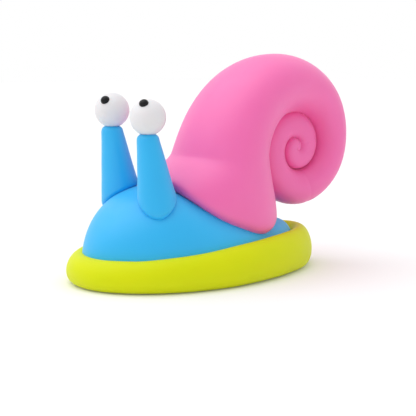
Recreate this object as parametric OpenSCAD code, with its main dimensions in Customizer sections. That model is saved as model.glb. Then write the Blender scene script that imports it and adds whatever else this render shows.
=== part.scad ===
// Hand-modelled clay snail: a rimmed foot, a wedge body, two eye stalks with
// ball eyes and bead pupils, and a shell that is one thick tapered roll coiled
// on itself. Millimetres, +Z up. The head points along -X, and the origin is
// the middle of the foot's underside.

/* [Foot] */
// Length of the foot over its rim
foot_l = 75; // [66:1:90]
// Width of the foot where it is widest
foot_w = 47; // [39:1:57]
// How much narrower the tail end is than the head end, as a share of the width
foot_taper = 0.12; // [0:0.01:0.2]
// Height of the rim at the head end
rim_head_h = 7.8; // [6:0.1:10]
// Height of the rim at the tail end
rim_tail_h = 11.2; // [8:0.1:13]
// Width of the rolled rim, seen from above
rim_w = 7.6; // [6:0.1:9]
// Thickness of the clay under the body
floor_t = 3; // [2:0.1:5]

/* [Body] */
// Height of the head dome above the table
head_h = 25; // [20.5:0.5:30]
// Height of the body's back above the table at its tail end
tail_h = 11.5; // [10:0.5:14]
// Distance of the dome's peak ahead of the foot's middle
head_x = 13; // [8:0.5:18]

/* [Shell] */
// Distance of the coil's centre behind the foot's middle
coil_x = 31.3; // [28:0.1:36]
// Height of the coil's centre above the table
coil_z = 32.5; // [31.5:0.1:42]
// Half the thickness of the roll at its tip
tip_r = 2; // [1.5:0.1:2.6]
// Half the width of the roll at its tip, across the snail
tip_half_w = 4.4; // [3:0.1:6]
// Growth of the roll's half thickness a turn, where it starts at the tip
roll_growth = 2.6; // [2.1:0.1:3.2]
// Half the length of the leg, along the snail, where it meets the coil
leg_r = 11.9; // [9.9:0.1:13.5]
// Half the width of the leg, across the snail, where it meets the coil
leg_half_w = 16; // [12:0.5:18]
// Half the length of the leg's foot on the body
base_r = 17.6; // [15:0.1:19]
// Half the width of the leg's foot on the body
base_half_w = 17.6; // [14:0.1:18.5]
// How deep each turn is pressed into the one before
turn_press = 0.7; // [0.6:0.1:0.9]
// How far the leg's rounded lower edge bulges out
leg_lip = 3; // [1.5:0.1:4]
// Sideways shift of the roll's tip towards the left
tip_shift = 2.5; // [0:0.1:4]

/* [Eyes] */
// Diameter of an eyeball
eye_d = 9.2; // [7:0.1:11.2]
// Distance between the centres of the two eyeballs
eye_gap = 18; // [14:0.5:22]
// Height of the eyeballs' centres above the table
eye_z = 44; // [38:0.5:50]
// Radius of a stalk at its foot
stalk_r = 5; // [4:0.1:6]
// Radius of a stalk under its eyeball
stalk_top_r = 2.9; // [1.5:0.1:3.5]
// Diameter of a pupil bead
pupil_d = 2.4; // [1.6:0.1:3.2]
// Height of a pupil bead above its eyeball
pupil_h = 1; // [0.6:0.05:1.3]

/* [Hidden] */

// The snail's left is -Y and its right is +Y
left = -1;
right = 1;

function mix(a, b, t) = a + (b - a) * t;
function ease(t) = t * t * (3 - 2 * t);
function mean(v) = v * [for (x = v) 1] / len(v);
function turn(i, n) = 360 * i / n;

// Closed solid through rings of points, each end closed by a fan
module loft(rings) {
    n = len(rings[0]);
    m = len(rings);
    first = [for (k = [0 : 2]) mean([for (p = rings[0]) p[k]])];
    last = [for (k = [0 : 2]) mean([for (p = rings[m - 1]) p[k]])];
    sides = [for (j = [0 : m - 2], i = [0 : n - 1]) let (k = (i + 1) % n)
        each [[j * n + i, (j + 1) * n + i, (j + 1) * n + k], [j * n + i, (j + 1) * n + k, j * n + k]]];
    ends = [for (i = [0 : n - 1]) let (k = (i + 1) % n)
        each [[n * m, i, k], [n * m + 1, (m - 1) * n + k, (m - 1) * n + i]]];
    polyhedron(concat([for (r = rings) each r], [first, last]), concat(sides, ends), convexity = 10);
}

// One mesh of freeform solids and the cuts between them
module as_mesh() resize([0, 0, 0]) children();

// Foot: plan outline at angle a, 0 at the tail and 180 at the head, moved in by inset
foot_around = 72;
side_rise = 0.8;
slump = 1.3;
function outline(a, inset) =
    [(foot_l / 2 - inset) * cos(a), (foot_w / 2 * (1 - foot_taper * cos(a)) - inset) * sin(a)];
function rim_h(a) = mix(rim_head_h, rim_tail_h, ease((1 + cos(a)) / 2)) + side_rise * pow(sin(a), 2);
function rim_point(a, b) =
    let (p = outline(a, rim_w / 2 * (1 - cos(b)))) [p[0], p[1], rim_h(a) * pow((1 + sin(b)) / 2, slump)];
function wall_point(a, b) =
    let (p = outline(a, rim_w / 2 * (1 - cos(b)))) [p[0], p[1], mix(floor_t, rim_h(a), sin(b))];

module foot_form()
    loft([
        for (b = [-90 : 15 : 90]) [for (i = [0 : foot_around - 1]) rim_point(turn(i, foot_around), b)],
        for (b = [108 : 18 : 180]) [for (i = [0 : foot_around - 1]) wall_point(turn(i, foot_around), b)]
    ]);

module foot() color("yellowgreen") foot_form();

// Body: its plan follows the rim's crest, and stops short of it at the tail
body_inset = rim_w / 2;
nose_overlap = 0.4;
tail_gap = 2.4;
body_half_l = foot_l / 2 - body_inset - tail_gap / 2;
body_shift = nose_overlap - tail_gap / 2;
nose_h = 2;
body_squareness = 2.4;
tail_roundness = 0.7;
tail_share = 3;
function plan_angle(x) = acos(min(max((x - body_shift) / body_half_l, -1), 1));
function body_half_w(x) = outline(plan_angle(x), body_inset)[1];
function crest(x) =
    let (ahead = -(x + head_x) / (body_half_l - body_shift - head_x))
    ahead > 0
        ? mix(floor_t + nose_h, head_h, sqrt(max(1 - ahead * ahead, 0)))
        : mix(head_h, tail_h, (x + head_x) / (body_half_l + head_x));
function tail_round(x) = pow(sin(min(tail_share * plan_angle(x), 90)), tail_roundness);
function body_top(x, y) =
    let (across = min(abs(y) / max(body_half_w(x), 0.01), 1))
    let (hoop = pow(1 - pow(across, body_squareness), 1 / body_squareness))
    floor_t + (crest(x) - floor_t) * tail_round(x) * hoop;
function body_ring(a) =
    let (n = 36, x = body_shift + body_half_l * cos(a), w = body_half_w(x))
    [for (i = [0 : n]) let (y = w * cos(180 * i / n)) [x, y, i % n == 0 ? floor_t : body_top(x, y)]];

body_step = 4.5;
module body_form() loft([for (a = [body_step : body_step : 180 - body_step]) body_ring(180 - a)]);

module body() color("deepskyblue") as_mesh() difference() {
    body_form();
    foot_form();
}

// What stands on the body ends in a rounded lip that follows the body's surface.
// The plan is a function of the angle and of how far the point is moved in.
lip_lift = 0.85;
leg_flare = 0.5;
function lip_z(plan, a, lip) = let (p = plan(a, lip / 2)) body_top(p[0], p[1]) + lip * lip_lift;
function lip_ring(plan, b, lip, n) =
    [for (i = [0 : n - 1]) let (a = turn(i, n), p = plan(a, lip * (1 - cos(b))))
        [p[0], p[1], lip_z(plan, a, lip) - lip * sin(b)]];
// Rings that rise from the lip (s is 0) to a ring above it (s is 1)
function rise_ring(plan, s, lip, top) =
    let (narrowing = mix(ease(s), s, leg_flare))
    [for (i = [0 : len(top) - 1]) let (a = turn(i, len(top)), p = plan(a, 0), q = top[i])
        [mix(p[0], q[0], narrowing), mix(p[1], q[1], narrowing), mix(lip_z(plan, a, lip), q[2], s)]];

// Shell: the roll at t turns from its tip, each turn lying on the one before
turns = 2.2;
shell_around = 36;
coil_step = 0.04;
cap_turn = 0.1;
cap_cross = 0.015;
first_join = 0.75;
second_join = 1.5;
tip_rho = 0.55;
tip_lift = 1.2;
tip_forward = 0.6;
axis_gap = 0.3;
core_r = 2.4;
core_share = 0.95;
coil_stretch = 1.09;
base_x = 4;
tip_squareness = 3;
base_squareness = 2.5;
growth_end = 5;
swelling = 8;
widening = 4.5;
function squircle(a, squareness) =
    [for (c = [cos(a), sin(a)]) sign(c) * pow(abs(c), 2 / squareness)];
function along(t) = max(t, 0) / turns;
function taper(t) = tip_r + roll_growth * t * (1 - t / growth_end);
function roll_r(t) = taper(max(t, 0)) + (leg_r - taper(turns)) * pow(along(t), swelling);
function roll_half_w(t) = mix(tip_half_w, leg_half_w, pow(along(t), widening));
function coil_rho(t) = t < 1
    ? mix(tip_rho, tip_rho + roll_r(0) + roll_r(1) - turn_press, t)
    : coil_rho(t - 1) + roll_r(t - 1) + roll_r(t) - turn_press;
// The coil's middle moves forward, to the left and up towards the tip
function coil_at(t) =
    [coil_x, 0, coil_z] + (1 - pow(along(t), 2)) * [-tip_forward, -tip_shift, tip_lift];
// A section of the roll, which is squashed flat where it would pass the coil's axis
function coil_ring(t, scale = 1) =
    let (f = 180 - 360 * (turns - t), squareness = mix(tip_squareness, 2, ease(along(t))))
    [for (i = [0 : shell_around - 1])
        let (
            q = scale * squircle(turn(i, shell_around), squareness),
            out = max(coil_rho(t) + roll_r(t) * q[0], axis_gap)
        )
        coil_at(t) + [out * cos(f), roll_half_w(t) * q[1], coil_stretch * out * sin(f)]];
// A rounded end of the roll beyond t, towards the leg (way is 1) or the tip (way is -1)
function cap(t, way) = [for (b = [15 : 15 : 75]) coil_ring(t + way * cap_turn * sin(b), cos(b))];
function reversed(v) = [for (i = [len(v) - 1 : -1 : 0]) v[i]];
base_plan = function(a, inset) let (q = squircle(a, base_squareness))
    [base_x - (base_r - inset) * q[0], (base_half_w - inset) * q[1]];

// Sections of the roll from one turn to another
function stretch_of_roll(start, end) =
    let (n = ceil((end - start) / coil_step)) [for (i = [0 : n]) coil_ring(mix(start, end, i / n))];
// The same with both ends rounded
function rounded_roll(start, end) =
    concat(reversed(cap(start, -1)), stretch_of_roll(start, end), cap(end, 1));

// The clay squashed together in the middle of the coil
module core()
    translate(coil_at(0)) scale([core_r, core_share * tip_half_w, core_r * coil_stretch])
        sphere(r = 1, $fn = shell_around);

module shell() {
    // The roll is made in three lengths of less than a turn, whose rounded ends cross inside each other
    outer_start = second_join + cap_cross;
    leg = [for (s = [9 : -1 : 0]) rise_ring(base_plan, s / 10, leg_lip, coil_ring(turns))];
    lip = [for (b = [18 : 18 : 90]) lip_ring(base_plan, b, leg_lip, shell_around)];
    color("hotpink") as_mesh() difference() {
        union() {
            core();
            loft(rounded_roll(0, first_join - cap_cross));
            loft(rounded_roll(first_join + cap_cross, second_join - cap_cross));
            loft(concat(reversed(cap(outer_start, -1)), stretch_of_roll(outer_start, turns), leg, lip));
        }
        body_form();
        foot_form();
    }
}

// Eyes: each ball rests in the top of its stalk, and its bead is pressed into it
stalk_lip = 1.6;
stalk_around = 32;
stalk_x = -18.5;
stalk_spread = 0.4;
eye_x = -20.8;
eye_lift = 0.6;
eye_sink = 0.5;
neck_round = 1.5;
pupil_sink = 0.1;
function eye_at(side) = [eye_x, side * eye_gap / 2, eye_z + side * eye_lift];
function stalk_foot(side) = [stalk_x, side * (eye_gap / 2 + stalk_spread)];
function gaze(side) = side == left ? [0, -38, 38] : [0, -53, 31];

module eyeball_form(side) translate(eye_at(side)) sphere(d = eye_d, $fn = 48);

module pupil_form(side)
    translate(eye_at(side)) rotate(gaze(side)) translate([0, 0, eye_d / 2 - pupil_sink])
        scale([1, 1, 2 * pupil_h / pupil_d]) sphere(d = pupil_d, $fn = 32);

// Ring under the ball, moved in and down round the neck's shoulder
function neck_ring(side, b) =
    let (seat = eye_at(side) - [0, 0, eye_d / 2 - eye_sink], r = stalk_top_r - neck_round * (1 - cos(b)))
    [for (i = [0 : stalk_around - 1]) let (a = turn(i, stalk_around))
        seat + [-r * cos(a), r * sin(a), neck_round * (sin(b) - 1)]];

module eye_stalk(side) {
    plan = function(a, inset) stalk_foot(side) + (stalk_r - inset) * [-cos(a), sin(a)];
    shoulder = [for (b = [75 : -15 : 0]) neck_ring(side, b)];
    neck = neck_ring(side, 0);
    low = lip_ring(plan, 0, stalk_lip, stalk_around);
    rise = [for (s = [9 : -1 : 0]) [for (i = [0 : stalk_around - 1]) mix(low[i], neck[i], s / 10)]];
    lip = [for (b = [18 : 18 : 90]) lip_ring(plan, b, stalk_lip, stalk_around)];
    color("dodgerblue") as_mesh() difference() {
        loft(concat(shoulder, rise, lip));
        body_form();
        eyeball_form(side);
    }
}

module eyeball(side) color("white") difference() {
    eyeball_form(side);
    pupil_form(side);
}

module pupil(side) color("black") pupil_form(side);

foot();
body();
shell();
eye_stalk(left);  // left_eye_stalk
eye_stalk(right);  // right_eye_stalk
eyeball(left);  // left_eyeball
eyeball(right);  // right_eyeball
pupil(left);  // left_pupil
pupil(right);  // right_pupil
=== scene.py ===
"""Clay snail figurine: the looks of its nine pieces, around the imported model.

Metres, +Z up. The head points along -X, the snail's left is -Y, and the origin is the
middle of the foot's underside. Sizes that aren't read from the frame are in millimetres
times MM.
"""

import logging
import math
from collections.abc import Callable
from dataclasses import dataclass
from enum import Enum

import bmesh
import bpy
from mathutils import Euler, Matrix, Vector


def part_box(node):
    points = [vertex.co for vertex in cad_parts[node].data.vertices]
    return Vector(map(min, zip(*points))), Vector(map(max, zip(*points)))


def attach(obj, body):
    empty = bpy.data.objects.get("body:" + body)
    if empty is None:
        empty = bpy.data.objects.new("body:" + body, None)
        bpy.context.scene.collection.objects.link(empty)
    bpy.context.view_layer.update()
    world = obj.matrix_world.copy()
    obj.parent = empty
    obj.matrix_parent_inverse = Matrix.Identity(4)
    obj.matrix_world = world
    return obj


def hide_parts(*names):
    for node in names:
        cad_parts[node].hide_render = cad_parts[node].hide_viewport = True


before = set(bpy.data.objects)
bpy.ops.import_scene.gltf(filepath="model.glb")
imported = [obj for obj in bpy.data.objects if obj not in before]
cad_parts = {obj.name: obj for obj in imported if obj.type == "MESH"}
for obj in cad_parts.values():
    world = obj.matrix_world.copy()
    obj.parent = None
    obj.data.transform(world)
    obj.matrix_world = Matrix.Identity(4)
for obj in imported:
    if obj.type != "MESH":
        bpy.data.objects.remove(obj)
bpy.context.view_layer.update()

MM = 0.001
KNEADING = 0.4 * MM
Ring = list[Vector]
Plan = Callable[[float, float], Vector]
log = logging.getLogger("snail")


class Side(Enum):
    """A side of the snail, with the sign of its Y."""

    LEFT = -1
    RIGHT = 1

    def node(self, part: str) -> str:
        """Give the name of this side's node of a part."""
        return f"{self.name.lower()}_{part}"


def mix(low: float, high: float, share: float) -> float:
    """Give the value that lies a share of the way from low to high."""
    return low + (high - low) * share


def ease(share: float) -> float:
    """Give a share that starts and ends gently."""
    return share * share * (3 - 2 * share)


def clamp(value: float, low: float = 0.0, high: float = 1.0) -> float:
    """Keep a value between two limits."""
    return min(max(value, low), high)


def turned(index: int, count: int) -> float:
    """Give the angle of one of count even steps round a circle."""
    return math.tau * index / count


def squircle(angle: float, squareness: float) -> tuple[float, float]:
    """Give a point of a rounded square of half size 1.

    Args:
        angle: where the point lies round the shape, in radians.
        squareness: 2 for a circle, and more for a squarer shape.

    Returns:
        The point's two coordinates.
    """
    power = 2 / squareness
    across, up = math.cos(angle), math.sin(angle)
    return (
        math.copysign(abs(across) ** power, across),
        math.copysign(abs(up) ** power, up),
    )


# Modelling by hand


def select_only(piece: bpy.types.Object) -> None:
    """Make one piece the active and only selected object."""
    bpy.ops.object.select_all(action="DESELECT")
    piece.select_set(True)
    bpy.context.view_layer.objects.active = piece


def name_new(name: str) -> bpy.types.Object:
    """Name the primitive that was just added, and give it back."""
    piece = bpy.context.object
    piece.name = name
    piece.data.name = name
    return piece


def apply_modifier(piece: bpy.types.Object, kind: str, **settings: object) -> None:
    """Add a modifier to a piece, set it and apply it.

    Args:
        piece: the object that it works on.
        kind: the modifier's type.
        settings: the modifier's properties.
    """
    select_only(piece)
    bpy.ops.object.modifier_add(type=kind)
    modifier = piece.modifiers[-1]
    for name, value in settings.items():
        setattr(modifier, name, value)
    bpy.ops.object.modifier_apply(modifier=modifier.name)


def shape(piece: bpy.types.Object, rule: Callable[[Vector], Vector]) -> None:
    """Push each point of a piece to where a rule says, as a thumb would.

    Args:
        piece: the object that is shaped.
        rule: gives a point's new place from its old one.
    """
    select_only(piece)
    bpy.ops.object.mode_set(mode="EDIT")
    mesh = bmesh.from_edit_mesh(piece.data)
    for vertex in mesh.verts:
        vertex.co = rule(vertex.co.copy())
    bmesh.update_edit_mesh(piece.data)
    bpy.ops.mesh.select_all(action="SELECT")
    bpy.ops.mesh.normals_make_consistent(inside=False)
    bpy.ops.object.mode_set(mode="OBJECT")


def rolled(name: str, rings: list[Ring]) -> bpy.types.Object:
    """Model a closed roll of clay by extruding a disc from ring to ring.

    Args:
        name: the new object's name.
        rings: the outline at each station, all with the same number of points.

    Returns:
        The roll, closed at both ends.
    """
    count = len(rings[0])
    bpy.ops.object.select_all(action="DESELECT")
    bpy.ops.mesh.primitive_circle_add(vertices=count, radius=MM, fill_type="TRIFAN")
    piece = name_new(name)
    bpy.ops.object.mode_set(mode="EDIT")
    mesh = bmesh.from_edit_mesh(piece.data)
    place = mesh.verts.layers.int.new("place")
    for vertex in mesh.verts:
        middle = vertex.co.length < MM / 2
        angle = math.atan2(vertex.co.y, vertex.co.x) % math.tau
        vertex[place] = -1 if middle else round(angle * count / math.tau) % count
    bmesh.update_edit_mesh(piece.data)
    for station, ring in enumerate(rings):
        if station:
            bpy.ops.mesh.extrude_region_move()
        mesh = bmesh.from_edit_mesh(piece.data)
        place = mesh.verts.layers.int["place"]
        centre = sum(ring, Vector()) / count
        for vertex in mesh.verts:
            if vertex.select:
                vertex.co = centre if vertex[place] < 0 else ring[vertex[place]]
        bmesh.update_edit_mesh(piece.data)
    bpy.ops.mesh.select_all(action="SELECT")
    bpy.ops.mesh.normals_make_consistent(inside=False)
    bpy.ops.object.mode_set(mode="OBJECT")
    return piece


def refine(piece: bpy.types.Object) -> None:
    """Round a piece's facets by dividing each of its faces in four."""
    apply_modifier(piece, "SUBSURF", levels=1, render_levels=1)


def knead(piece: bpy.types.Object, lump: float, depth: float) -> None:
    """Give a piece the soft unevenness of clay that was shaped by hand.

    Args:
        piece: the object that is kneaded.
        lump: size of a bump.
        depth: how far the surface moves, from hollow to bump.
    """
    texture = bpy.data.textures.new(f"{piece.name} lumps", "CLOUDS")
    texture.noise_scale = lump
    texture.noise_depth = 1
    apply_modifier(piece, "DISPLACE", texture=texture, strength=depth, mid_level=0.5)


def press_into(piece: bpy.types.Object, *others: bpy.types.Object, bite: float = 0.15 * MM) -> None:
    """Cut a piece where it is pressed against others.

    Args:
        piece: the object that is cut.
        others: the objects that it is pressed against.
        bite: how far it sinks into them, so that no gap shows at the seam.
    """
    for other in others:
        select_only(other)
        bpy.ops.object.duplicate()
        cutter = bpy.context.object
        apply_modifier(cutter, "DISPLACE", strength=-bite, mid_level=0)
        apply_modifier(piece, "BOOLEAN", operation="DIFFERENCE", solver="MANIFOLD", object=cutter)
        select_only(cutter)
        bpy.ops.object.delete()


def squash_together(piece: bpy.types.Object, *others: bpy.types.Object) -> None:
    """Unite a piece with others, which become part of it.

    Args:
        piece: the object that the others join.
        others: the objects that are used up.
    """
    for other in others:
        apply_modifier(piece, "BOOLEAN", operation="UNION", solver="MANIFOLD", object=other)
        select_only(other)
        bpy.ops.object.delete()


def finish_skin(piece: bpy.types.Object, crease: float = 40) -> None:
    """Smooth the shading of a piece, except over edges sharper than an angle in degrees."""
    select_only(piece)
    bpy.ops.object.shade_smooth_by_angle(angle=math.radians(crease))


# Finishes


@dataclass(frozen=True)
class Clay:
    """Finish of one colour of soft modelling clay.

    Attributes:
        slot: the record's material slot.
        colour: linear colour where the clay is even.
        streak: linear colour of the faint streaks left by kneading.
        roughness: how matte the skin is.
        gloss: strength of the reflections.
        sheen: strength of the soft pale bloom at grazing angles.
        depth: share of the light that passes through the skin.
        unevenness: how far the roughness strays to either side.
        streak_size: size of the streaks.
        gloss_size: size of the duller and shinier spots.
        grain_size: size of the skin's grain.
        mark_size: size of the finger marks.
    """

    slot: str
    colour: tuple[float, float, float]
    streak: tuple[float, float, float]
    roughness: float = 0.5
    gloss: float = 0.45
    sheen: float = 0.04
    depth: float = 0.15
    unevenness: float = 0.06
    streak_size: float = 11 * MM
    gloss_size: float = 3 * MM
    grain_size: float = 0.35 * MM
    mark_size: float = 4 * MM

    def material(self) -> bpy.types.Material:
        """Make the finish: soft streaks in the colour, a fine grain and faint finger marks.

        Returns:
            The new material.
        """
        material = bpy.data.materials.new(self.slot)
        material.use_nodes = True
        nodes, links = material.node_tree.nodes, material.node_tree.links
        shader = nodes["Principled BSDF"]
        place = nodes.new("ShaderNodeTexCoord").outputs["Object"]

        def noise(size: float, detail: float) -> bpy.types.NodeSocket:
            """Add a noise pattern with bumps of a size, and give its value.

            Args:
                size: width of a bump.
                detail: number of finer layers in it.

            Returns:
                The node's output, from 0 to 1.
            """
            node = nodes.new("ShaderNodeTexNoise")
            node.inputs["Scale"].default_value = 1 / size
            node.inputs["Detail"].default_value = detail
            links.new(place, node.inputs["Vector"])
            return node.outputs["Fac"]

        tint = nodes.new("ShaderNodeMix")
        tint.data_type = "RGBA"
        tint.inputs["A"].default_value = (*self.colour, 1)
        tint.inputs["B"].default_value = (*self.streak, 1)
        links.new(noise(self.streak_size, 3), tint.inputs["Factor"])
        links.new(tint.outputs["Result"], shader.inputs["Base Color"])

        rough = nodes.new("ShaderNodeMapRange")
        rough.inputs["To Min"].default_value = self.roughness - self.unevenness
        rough.inputs["To Max"].default_value = self.roughness + self.unevenness
        links.new(noise(self.gloss_size, 2), rough.inputs["Value"])
        links.new(rough.outputs["Result"], shader.inputs["Roughness"])

        grain = nodes.new("ShaderNodeBump")
        grain.inputs["Strength"].default_value = 0.25
        grain.inputs["Distance"].default_value = 0.03 * MM
        links.new(noise(self.grain_size, 2), grain.inputs["Height"])
        marks = nodes.new("ShaderNodeBump")
        marks.inputs["Strength"].default_value = 0.2
        marks.inputs["Distance"].default_value = 0.2 * MM
        links.new(noise(self.mark_size, 1), marks.inputs["Height"])
        links.new(grain.outputs["Normal"], marks.inputs["Normal"])
        links.new(marks.outputs["Normal"], shader.inputs["Normal"])

        shader.inputs["Specular IOR Level"].default_value = self.gloss
        shader.inputs["Sheen Weight"].default_value = self.sheen
        shader.inputs["Sheen Roughness"].default_value = 0.5
        shader.inputs["Subsurface Weight"].default_value = self.depth
        shader.inputs["Subsurface Radius"].default_value = (1.0, 0.6, 0.5)
        shader.inputs["Subsurface Scale"].default_value = 1.5 * MM
        return material

    def dress(self, piece: bpy.types.Object, material: bpy.types.Material, node: str) -> None:
        """Give a piece this finish, and set it in the frame for its node.

        Args:
            piece: the finished object.
            material: what material() made.
            node: the model's node that the piece is shown for.
        """
        piece.data.materials.clear()
        piece.data.materials.append(material)
        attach(piece, "root")
        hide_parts(node)
        log.info("%s: %d faces, %s", piece.name, len(piece.data.polygons), self.slot)


# The snail's pieces


@dataclass(frozen=True)
class Foot:
    """Oval slab of lime green clay, pressed up into a rolled rim all round."""

    half_length: float
    half_width: float = 23.5 * MM
    taper: float = 0.12
    rim_head: float = 7.8 * MM
    rim_tail: float = 11.2 * MM
    rim_width: float = 7.6 * MM
    floor: float = 3 * MM
    side_rise: float = 0.8 * MM
    slump: float = 1.3
    around: int = 144
    bend_step: int = 6

    def outline(self, angle: float, inset: float) -> Vector:
        """Give a point of the plan.

        Args:
            angle: 0 at the tail and pi at the head.
            inset: how far the point is moved in.

        Returns:
            The point, on the table.
        """
        half_width = self.half_width * (1 - self.taper * math.cos(angle))
        return Vector(
            (
                (self.half_length - inset) * math.cos(angle),
                (half_width - inset) * math.sin(angle),
                0,
            )
        )

    def rim_height(self, angle: float) -> float:
        """Give the rim's height above the table at an angle of the plan."""
        along = ease((1 + math.cos(angle)) / 2)
        return mix(self.rim_head, self.rim_tail, along) + self.side_rise * math.sin(angle) ** 2

    def ring(self, bend: float) -> Ring:
        """Give a ring of the rim.

        Args:
            bend: angle round the rim's section, -pi/2 at the table, pi/2 at the crest and
                pi at the foot of the inner wall.

        Returns:
            The ring's points.
        """
        outer = bend <= math.pi / 2
        points = []
        for step in range(self.around):
            angle = turned(step, self.around)
            point = self.outline(angle, self.rim_width / 2 * (1 - math.cos(bend)))
            height = self.rim_height(angle)
            share = ((1 + math.sin(bend)) / 2) ** self.slump
            point.z = height * share if outer else mix(self.floor, height, math.sin(bend))
            points.append(point)
        return points

    def build(self) -> bpy.types.Object:
        """Roll the rim up from the underside and down to the floor inside it.

        Returns:
            The foot.
        """
        bends = [math.radians(degrees) for degrees in range(-90, 181, self.bend_step)]
        piece = rolled("clay_foot", [self.ring(bend) for bend in bends])
        refine(piece)
        knead(piece, 16 * MM, KNEADING)
        finish_skin(piece)
        return piece


@dataclass(frozen=True)
class Body:
    """Wedge of blue clay that fills the foot: a high round head and a low tail."""

    foot: Foot
    head: float
    tail: float = 11.5 * MM
    peak: float = -13 * MM
    inset: float = 3.8 * MM
    tail_gap: float = 2.4 * MM
    nose_overlap: float = 0.4 * MM
    nose: float = 2 * MM
    squareness: float = 2.4
    tail_share: float = 3
    tail_roundness: float = 0.7

    @property
    def half_length(self) -> float:
        """Half the length of the plan, which stops short of the rim at the tail."""
        return self.foot.half_length - self.inset - self.tail_gap / 2

    @property
    def shift(self) -> float:
        """Place of the plan's middle along the snail."""
        return self.nose_overlap - self.tail_gap / 2

    def plan_angle(self, x: float) -> float:
        """Give the angle of the plan whose outline passes a place along the snail."""
        return math.acos(clamp((x - self.shift) / self.half_length, -1, 1))

    def half_width(self, x: float) -> float:
        """Give half the width of the plan at a place along the snail."""
        return self.foot.outline(self.plan_angle(x), self.inset).y

    def crest(self, x: float) -> float:
        """Give the height of the back's middle line at a place along the snail.

        Args:
            x: the place along the snail.

        Returns:
            The height above the table.
        """
        ahead = (self.peak - x) / (self.half_length - self.shift + self.peak)
        if ahead > 0:
            low = self.foot.floor + self.nose
            return mix(low, self.head, math.sqrt(max(1 - ahead**2, 0)))
        return mix(self.head, self.tail, (x - self.peak) / (self.half_length - self.peak))

    def top(self, x: float, y: float) -> float:
        """Give the height of the body's surface above a point of the plan.

        Args:
            x: the place along the snail.
            y: the place across it.

        Returns:
            The height above the table.
        """
        across = clamp(abs(y) / max(self.half_width(x), MM / 100))
        tail_angle = min(self.tail_share * self.plan_angle(x), math.pi / 2)
        tail_round = math.sin(tail_angle) ** self.tail_roundness
        hoop = (1 - across**self.squareness) ** (1 / self.squareness)
        return self.foot.floor + (self.crest(x) - self.foot.floor) * tail_round * hoop

    def from_ball(self, point: Vector) -> Vector:
        """Give the place on the body of a point of a ball of radius 1.

        Args:
            point: the point of the ball.

        Returns:
            Where that point is pulled to.
        """
        out = math.hypot(point.x, point.y)
        angle = math.atan2(point.y, point.x)
        rim = self.foot.outline(angle, self.inset)
        place = Vector((self.shift + self.half_length * math.cos(angle) * out, rim.y * out, 0))
        if point.z >= 0:
            place.z = self.top(place.x, place.y)
        else:
            place.z = self.foot.floor * (1 + point.z / 2)
        return place

    def build(self, foot: bpy.types.Object) -> bpy.types.Object:
        """Pull a ball of clay into the wedge and press it into the foot.

        Args:
            foot: the finished foot.

        Returns:
            The body.
        """
        bpy.ops.object.select_all(action="DESELECT")
        bpy.ops.mesh.primitive_uv_sphere_add(segments=144, ring_count=96, radius=1)
        piece = name_new("clay_body")
        shape(piece, self.from_ball)
        refine(piece)
        knead(piece, 18 * MM, KNEADING)
        press_into(piece, foot)
        finish_skin(piece)
        return piece


@dataclass(frozen=True)
class Lip:
    """Rounded edge that follows the body's surface, where a piece stands on it."""

    body: Body
    plan: Plan
    radius: float
    around: int
    lift: float = 0.85
    sink: float = 1.2 * MM

    def height(self, angle: float) -> float:
        """Give the height of the lip's widest line at an angle of the plan."""
        point = self.plan(angle, self.radius / 2)
        return self.body.top(point.x, point.y) + self.radius * self.lift

    def ring(self, bend: float, drop: float = 0) -> Ring:
        """Give a ring of the lip, at an angle below its widest line.

        Args:
            bend: angle round the lip, 0 at its widest line and pi/2 at its lower edge.
            drop: how far the ring is lowered.

        Returns:
            The ring's points.
        """
        points = []
        for step in range(self.around):
            angle = turned(step, self.around)
            point = self.plan(angle, self.radius * (1 - math.cos(bend)))
            point.z = self.height(angle) - self.radius * math.sin(bend) - drop
            points.append(point)
        return points

    def rings(self) -> list[Ring]:
        """Give the lip's rings, from below its widest line to inside the body."""
        bends = [math.radians(degrees) for degrees in range(15, 91, 15)]
        return [self.ring(bend) for bend in bends] + [self.ring(math.pi / 2, self.sink)]


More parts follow.
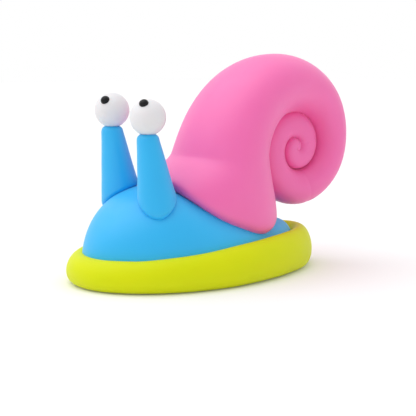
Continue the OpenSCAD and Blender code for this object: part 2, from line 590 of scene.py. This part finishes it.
@dataclass(frozen=True)
class Shell:
    """Thick tapered roll of pink clay, coiled on itself, standing on its thick end.

    A place along the roll is the number of turns from its tip.
    """

    body: Body
    coil_x: float = 31.3 * MM
    coil_z: float = 32.5 * MM
    turns: float = 2.2
    tip: float = 2 * MM
    growth: float = 2.6 * MM
    leg: float = 11.9 * MM
    tip_half_width: float = 4.4 * MM
    leg_half_width: float = 16 * MM
    press: float = 0.7 * MM
    tip_forward: float = 0.6 * MM
    tip_shift: float = 2.5 * MM
    tip_lift: float = 1.2 * MM
    tip_distance: float = 0.55 * MM
    tip_squareness: float = 3.0
    leg_squareness: float = 2.0
    growth_end: float = 5
    swelling: float = 8
    widening: float = 4.5
    axis_gap: float = 0.3 * MM
    core: float = 2.4 * MM
    core_share: float = 0.95
    first_join: float = 0.75
    second_join: float = 1.5
    join_cross: float = 0.015
    cap_turn: float = 0.1
    stretch: float = 1.09
    base_x: float = 4 * MM
    base_half_length: float = 17.6 * MM
    base_half_width: float = 17.6 * MM
    base_squareness: float = 2.5
    lip: float = 3 * MM
    leg_flare: float = 0.25
    around: int = 72
    step: float = 0.02
    leg_rings: int = 16

    def along(self, place: float) -> float:
        """Give the share of the roll that lies between the tip and a place."""
        return max(place, 0) / self.turns

    def taper(self, place: float) -> float:
        """Give half the thickness of the plain tapered roll."""
        return self.tip + self.growth * place * (1 - place / self.growth_end)

    def half_thickness(self, place: float) -> float:
        """Give half the roll's thickness, with the leg's swelling."""
        extra = self.leg - self.taper(self.turns)
        return self.taper(max(place, 0)) + extra * self.along(place) ** self.swelling

    def half_width(self, place: float) -> float:
        """Give half the roll's width across the snail."""
        share = self.along(place) ** self.widening
        return mix(self.tip_half_width, self.leg_half_width, share)

    def distance(self, place: float) -> float:
        """Give the roll's distance from the coil's centre: each turn lies on the one before.

        Args:
            place: the place along the roll, in turns.

        Returns:
            The distance from the coil's centre to the middle of the roll.
        """
        if place < 1:
            gap = self.half_thickness(0) + self.half_thickness(1) - self.press
            return mix(self.tip_distance, self.tip_distance + gap, place)
        gap = self.half_thickness(place - 1) + self.half_thickness(place) - self.press
        return self.distance(place - 1) + gap

    def squareness(self, place: float) -> float:
        """Give how square the roll's section is: the inner turns are pressed flat."""
        return mix(self.tip_squareness, self.leg_squareness, ease(self.along(place)))

    def middle(self, place: float) -> Vector:
        """Give the coil's middle, which moves forward, left and up towards the tip.

        Args:
            place: the place along the roll, in turns.

        Returns:
            The point that the roll turns round there.
        """
        share = 1 - self.along(place) ** 2
        moved = Vector((-self.tip_forward, -self.tip_shift, self.tip_lift)) * share
        return Vector((self.coil_x, 0, self.coil_z)) + moved

    def ring(self, place: float, scale: float = 1) -> Ring:
        """Give the roll's section at a place along it, at a scale.

        The roll is squashed flat where it would pass the coil's axis.

        Args:
            place: the place along the roll, in turns.
            scale: how large the section is, 1 for the full roll.

        Returns:
            The section's points.
        """
        turn = math.pi - math.tau * (self.turns - place)
        points = []
        for step in range(self.around):
            out, across = squircle(turned(step, self.around), self.squareness(place))
            reach = self.distance(place) + self.half_thickness(place) * scale * out
            reach = max(reach, self.axis_gap)
            offset = (
                reach * math.cos(turn),
                self.half_width(place) * scale * across,
                self.stretch * reach * math.sin(turn),
            )
            points.append(self.middle(place) + Vector(offset))
        return points

    def length(self, start: float, end: float) -> list[Ring]:
        """Give the sections of the roll from one place to another."""
        count = math.ceil((end - start) / self.step)
        return [self.ring(mix(start, end, step / count)) for step in range(count + 1)]

    def cap(self, place: float, way: int) -> list[Ring]:
        """Give the rounded end of a length, towards the leg (1) or the tip (-1).

        Args:
            place: where the end starts to round off.
            way: 1 for an end towards the leg, -1 for one towards the tip.

        Returns:
            The rings, in order from the tip towards the leg.
        """
        bends = [math.radians(degrees) for degrees in range(8, 81, 12)]
        beyond = way * self.cap_turn
        rings = [self.ring(place + beyond * math.sin(bend), math.cos(bend)) for bend in bends]
        return rings if way > 0 else rings[::-1]

    def base(self, angle: float, inset: float) -> Vector:
        """Give a point of the oval on the body that the roll stands on.

        Args:
            angle: 0 at the head side.
            inset: how far the point is moved in.

        Returns:
            The point, on the table.
        """
        along, across = squircle(angle, self.base_squareness)
        return Vector(
            (
                self.base_x - (self.base_half_length - inset) * along,
                (self.base_half_width - inset) * across,
                0,
            )
        )

    def rise(self, lip: Lip, share: float) -> Ring:
        """Give a ring of the leg, a share of the way from its lip up to the coil.

        Args:
            lip: the leg's rounded lower edge.
            share: 0 at the lip and 1 at the coil.

        Returns:
            The ring's points.
        """
        points = []
        narrowing = mix(ease(share), share, self.leg_flare)
        for step, top in enumerate(self.ring(self.turns)):
            angle = turned(step, self.around)
            point = self.base(angle, 0)
            point.x = mix(point.x, top.x, narrowing)
            point.y = mix(point.y, top.y, narrowing)
            point.z = mix(lip.height(angle), top.z, share)
            points.append(point)
        return points

    def build_core(self) -> bpy.types.Object:
        """Make the clay that is squashed together in the middle of the coil.

        Returns:
            The core.
        """
        bpy.ops.object.select_all(action="DESELECT")
        bpy.ops.mesh.primitive_uv_sphere_add(segments=64, ring_count=32, radius=1)
        piece = name_new("core")
        half_width = self.core_share * self.tip_half_width
        size = Vector((self.core, half_width, self.core * self.stretch))
        shape(piece, lambda point: self.middle(0) + point * size)
        return piece

    def build(self, foot: bpy.types.Object, body: bpy.types.Object) -> bpy.types.Object:
        """Coil the roll from its tip, stand it on the body and smooth it into one piece.

        The roll is made in lengths of less than a turn, whose rounded ends cross.

        Args:
            foot: the finished foot.
            body: the finished body.

        Returns:
            The shell.
        """
        lip = Lip(self.body, self.base, self.lip, self.around)
        shares = [1 - step / self.leg_rings for step in range(1, self.leg_rings + 1)]
        leg = [self.rise(lip, share) for share in shares] + lip.rings()
        first, second, cross = self.first_join, self.second_join, self.join_cross
        outer = second + cross
        piece = rolled("clay_shell", self.cap(outer, -1) + self.length(outer, self.turns) + leg)
        lengths = [piece]
        for start, end in ((0, first - cross), (first + cross, second - cross)):
            rings = self.cap(start, -1) + self.length(start, end) + self.cap(end, 1)
            lengths.append(rolled("length", rings))
        for length in lengths:
            refine(length)
        squash_together(piece, *lengths[1:], self.build_core())
        knead(piece, 18 * MM, KNEADING)
        press_into(piece, body, foot)
        finish_skin(piece)
        return piece


@dataclass(frozen=True)
class Eye:
    """Blue stalk, white ball and black bead of one eye."""

    side: Side
    body: Body
    centre: Vector
    radius: float
    stalk: float = 5 * MM
    stalk_top: float = 2.9 * MM
    stalk_lip: float = 1.6 * MM
    foot_x: float = -18.5 * MM
    spread: float = 0.4 * MM
    rest: float = 0.5 * MM
    neck: float = 1.5 * MM
    bead: float = 1.2 * MM
    bead_height: float = 1.0 * MM
    bead_sink: float = 0.1 * MM
    around: int = 48
    rings: int = 24

    @classmethod
    def from_frame(cls, side: Side, body: Body) -> "Eye":
        """Read a side's eye from the box of its ball in the frame."""
        low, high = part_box(side.node("eyeball"))
        return cls(side, body, (low + high) / 2, (high.y - low.y) / 2)

    @property
    def gaze(self) -> Matrix:
        """Turn from straight up to where the eye looks."""
        angles = (0, -38, 38) if self.side is Side.LEFT else (0, -53, 31)
        return Euler([math.radians(angle) for angle in angles]).to_matrix().to_4x4()

    def plan(self, angle: float, inset: float) -> Vector:
        """Give a point of the circle on the body that the stalk stands on.

        Args:
            angle: 0 at the head side.
            inset: how far the point is moved in.

        Returns:
            The point, on the table.
        """
        reach = self.stalk - inset
        middle = self.centre.y + self.side.value * self.spread
        return Vector((self.foot_x - reach * math.cos(angle), middle + reach * math.sin(angle), 0))

    def top_ring(self, bend: float) -> Ring:
        """Give a ring of the rounded shoulder under the ball.

        Args:
            bend: angle round the shoulder, 0 at its widest line and pi/2 at its top.

        Returns:
            The ring's points.
        """
        seat = self.centre - Vector((0, 0, self.radius - self.rest))
        reach = self.stalk_top - self.neck * (1 - math.cos(bend))
        drop = self.neck * (math.sin(bend) - 1)
        return [
            seat + Vector((-reach * math.cos(angle), reach * math.sin(angle), drop))
            for angle in (turned(step, self.around) for step in range(self.around))
        ]

    def build_stalk(self, body: bpy.types.Object, ball: bpy.types.Object) -> bpy.types.Object:
        """Draw the stalk up from its lip on the body to the seat of the ball.

        Args:
            body: the finished body.
            ball: the finished ball.

        Returns:
            The stalk.
        """
        rings = [self.top_ring(math.radians(degrees)) for degrees in (80, 60, 40, 20, 0)]
        lip = Lip(self.body, self.plan, self.stalk_lip, self.around)
        low, high = lip.ring(0), rings[-1]
        for step in range(1, self.rings + 1):
            share = step / self.rings
            rings.append([top.lerp(bottom, share) for top, bottom in zip(high, low)])
        piece = rolled(f"clay_{self.side.node('eye_stalk')}", rings + lip.rings())
        refine(piece)
        knead(piece, 9 * MM, 0.25 * MM)
        press_into(piece, body, ball)
        finish_skin(piece)
        return piece

    def build_ball(self, bead: bpy.types.Object) -> bpy.types.Object:
        """Roll the ball, and press the bead into it.

        Args:
            bead: the finished bead.

        Returns:
            The ball.
        """
        bpy.ops.object.select_all(action="DESELECT")
        bpy.ops.mesh.primitive_uv_sphere_add(segments=64, ring_count=48, radius=self.radius)
        piece = name_new(f"clay_{self.side.node('eyeball')}")
        shape(piece, lambda point: self.centre + point)
        press_into(piece, bead, bite=0.05 * MM)
        finish_skin(piece)
        return piece

    def build_bead(self) -> bpy.types.Object:
        """Roll the bead and flatten it a little where the eye looks.

        Returns:
            The bead.
        """
        bpy.ops.object.select_all(action="DESELECT")
        bpy.ops.mesh.primitive_uv_sphere_add(segments=48, ring_count=24, radius=self.bead)
        piece = name_new(f"clay_{self.side.node('pupil')}")
        flatten = Matrix.Diagonal((1, 1, self.bead_height / self.bead, 1))
        outward = Matrix.Translation((0, 0, self.radius - self.bead_sink))
        place = Matrix.Translation(self.centre) @ self.gaze @ outward @ flatten
        shape(piece, lambda point: place @ point)
        bpy.ops.object.shade_smooth()
        return piece


@dataclass(frozen=True)
class Studio:
    """White seamless table, soft daylight and the camera.

    Attributes:
        target: the point that the camera and the window face.
        azimuth: the camera's, in degrees.
        elevation: the camera's, in degrees.
        distance: the camera's, from the target.
        lens: the camera's focal length, in millimetres.
        front_light: the tent's strength on the camera's side.
        back_light: its strength on the other side.
        tent_tilt: elevation of the tent's darkest point, in degrees.
        window_light: strength of the daylight.
        window_turn: azimuth that it comes from, measured from the camera's.
        window_elevation: elevation that it comes from, in degrees.
        window_spread: how wide the window looks, in degrees.
        paper_glow: light that the table's paper adds.
    """

    target: Vector
    azimuth: float = -35
    elevation: float = 8
    distance: float = 274 * MM
    lens: float = 87
    front_light: float = 0.56
    back_light: float = 1.0
    tent_tilt: float = -20
    window_light: float = 1.35
    window_turn: float = -78
    window_elevation: float = 64
    window_spread: float = 75
    paper_glow: float = 0.05

    def direction(self, azimuth: float, elevation: float) -> Vector:
        """Give the direction from the target towards an angle, in degrees.

        Args:
            azimuth: 0 looks along +Y, and 90 along -X.
            elevation: height above the table.

        Returns:
            The direction, of length 1.
        """
        turn, rise = math.radians(azimuth), math.radians(elevation)
        return Vector(
            (
                math.sin(turn) * math.cos(rise),
                -math.cos(turn) * math.cos(rise),
                math.sin(rise),
            )
        )

    def aim(self, thing: bpy.types.Object, azimuth: float, elevation: float, distance: float) -> None:
        """Put a lamp or the camera at an angle and a distance, facing the target.

        Args:
            thing: the lamp or the camera.
            azimuth: as in direction().
            elevation: height above the table, in degrees.
            distance: how far it is from the target.
        """
        direction = self.direction(azimuth, elevation)
        thing.location = self.target + direction * distance
        thing.rotation_euler = direction.to_track_quat("Z", "Y").to_euler()

    def window(self) -> None:
        """Let soft daylight in from high on the left, a little behind the snail."""
        light = bpy.data.lights.new("window", "SUN")
        light.angle = math.radians(self.window_spread)
        light.energy = self.window_light
        window = bpy.data.objects.new("window", light)
        bpy.context.scene.collection.objects.link(window)
        self.aim(window, self.azimuth + self.window_turn, self.window_elevation, 1)

    def light_tent(self) -> None:
        """Surround the snail with soft light, brighter from behind, on a white backdrop."""
        world = bpy.data.worlds.new("light tent")
        world.use_nodes = True
        nodes, links = world.node_tree.nodes, world.node_tree.links
        tent = nodes["Background"]
        tent.inputs["Color"].default_value = (1, 1, 1, 1)
        toward = nodes.new("ShaderNodeVectorMath")
        toward.operation = "DOT_PRODUCT"
        toward.inputs[1].default_value = -self.direction(self.azimuth, self.tent_tilt)
        links.new(nodes.new("ShaderNodeTexCoord").outputs["Generated"], toward.inputs[0])
        strength = nodes.new("ShaderNodeMapRange")
        strength.inputs["From Min"].default_value = -1
        strength.inputs["To Min"].default_value = self.front_light
        strength.inputs["To Max"].default_value = self.back_light
        links.new(toward.outputs["Value"], strength.inputs["Value"])
        links.new(strength.outputs["Result"], tent.inputs["Strength"])
        backdrop = nodes.new("ShaderNodeBackground")
        backdrop.inputs["Color"].default_value = (1, 1, 1, 1)
        seen = nodes.new("ShaderNodeMixShader")
        links.new(nodes.new("ShaderNodeLightPath").outputs["Is Camera Ray"], seen.inputs["Fac"])
        links.new(tent.outputs["Background"], seen.inputs[1])
        links.new(backdrop.outputs["Background"], seen.inputs[2])
        links.new(seen.outputs["Shader"], nodes["World Output"].inputs["Surface"])
        bpy.context.scene.world = world

    def build(self) -> None:
        """Lay the table, light it and set up the camera."""
        bpy.ops.object.select_all(action="DESELECT")
        bpy.ops.mesh.primitive_plane_add(size=6)
        floor = name_new("table")
        paper = bpy.data.materials.new("paper")
        paper.use_nodes = True
        skin = paper.node_tree.nodes["Principled BSDF"]
        skin.inputs["Base Color"].default_value = (0.86, 0.86, 0.86, 1)
        skin.inputs["Roughness"].default_value = 0.9
        skin.inputs["Emission Color"].default_value = (1, 1, 1, 1)
        skin.inputs["Emission Strength"].default_value = self.paper_glow
        floor.data.materials.append(paper)

        self.light_tent()
        self.window()

        camera = bpy.data.objects.new("camera", bpy.data.cameras.new("camera"))
        camera.data.lens = self.lens
        camera.data.clip_start = 0.01
        bpy.context.scene.collection.objects.link(camera)
        self.aim(camera, self.azimuth, self.elevation, self.distance)
        bpy.context.scene.camera = camera
        bpy.context.scene.view_settings.view_transform = "Standard"


LIME = Clay("green_clay", (0.70, 0.74, 0.001), (0.64, 0.72, 0.001), gloss=0.15, sheen=0.02)
BLUE = Clay("blue_clay", (0.002, 0.47, 0.90), (0.002, 0.44, 0.86), gloss=0.7, sheen=0.12)
PINK = Clay("pink_clay", (0.92, 0.15, 0.45), (0.89, 0.12, 0.42), gloss=0.8, sheen=0.16)
WHITE = Clay("white_clay", (0.80, 0.78, 0.80), (0.76, 0.75, 0.77))
BLACK = Clay(
    "black_clay",
    (0.003, 0.003, 0.004),
    (0.006, 0.006, 0.007),
    roughness=0.4,
    gloss=0.25,
    sheen=0,
    depth=0,
)


def main() -> None:
    """Build the studio and the snail's pieces, in the order that they are pressed together."""
    logging.basicConfig(level=logging.INFO, format="%(message)s")
    Studio(target=Vector((2.6, -1.8, 17.8)) * MM).build()

    low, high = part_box("foot")
    foot = Foot(half_length=(high.x - low.x) / 2)
    body = Body(foot, head=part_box("body")[1].z)
    shell = Shell(body)
    pieces = {"foot": foot.build()}
    pieces["body"] = body.build(pieces["foot"])
    pieces["shell"] = shell.build(pieces["foot"], pieces["body"])
    finishes = {"foot": LIME, "body": BLUE, "shell": PINK}
    for side in Side:
        eye = Eye.from_frame(side, body)
        bead = eye.build_bead()
        ball = eye.build_ball(bead)
        stalk = eye.build_stalk(pieces["body"], ball)
        for part, piece, clay in (
            ("eye_stalk", stalk, BLUE),
            ("eyeball", ball, WHITE),
            ("pupil", bead, BLACK),
        ):
            pieces[side.node(part)] = piece
            finishes[side.node(part)] = clay

    materials = {clay: clay.material() for clay in (LIME, BLUE, PINK, WHITE, BLACK)}
    for node, piece in pieces.items():
        clay = finishes[node]
        clay.dress(piece, materials[clay], node)


if __name__ == "__main__":
    main()
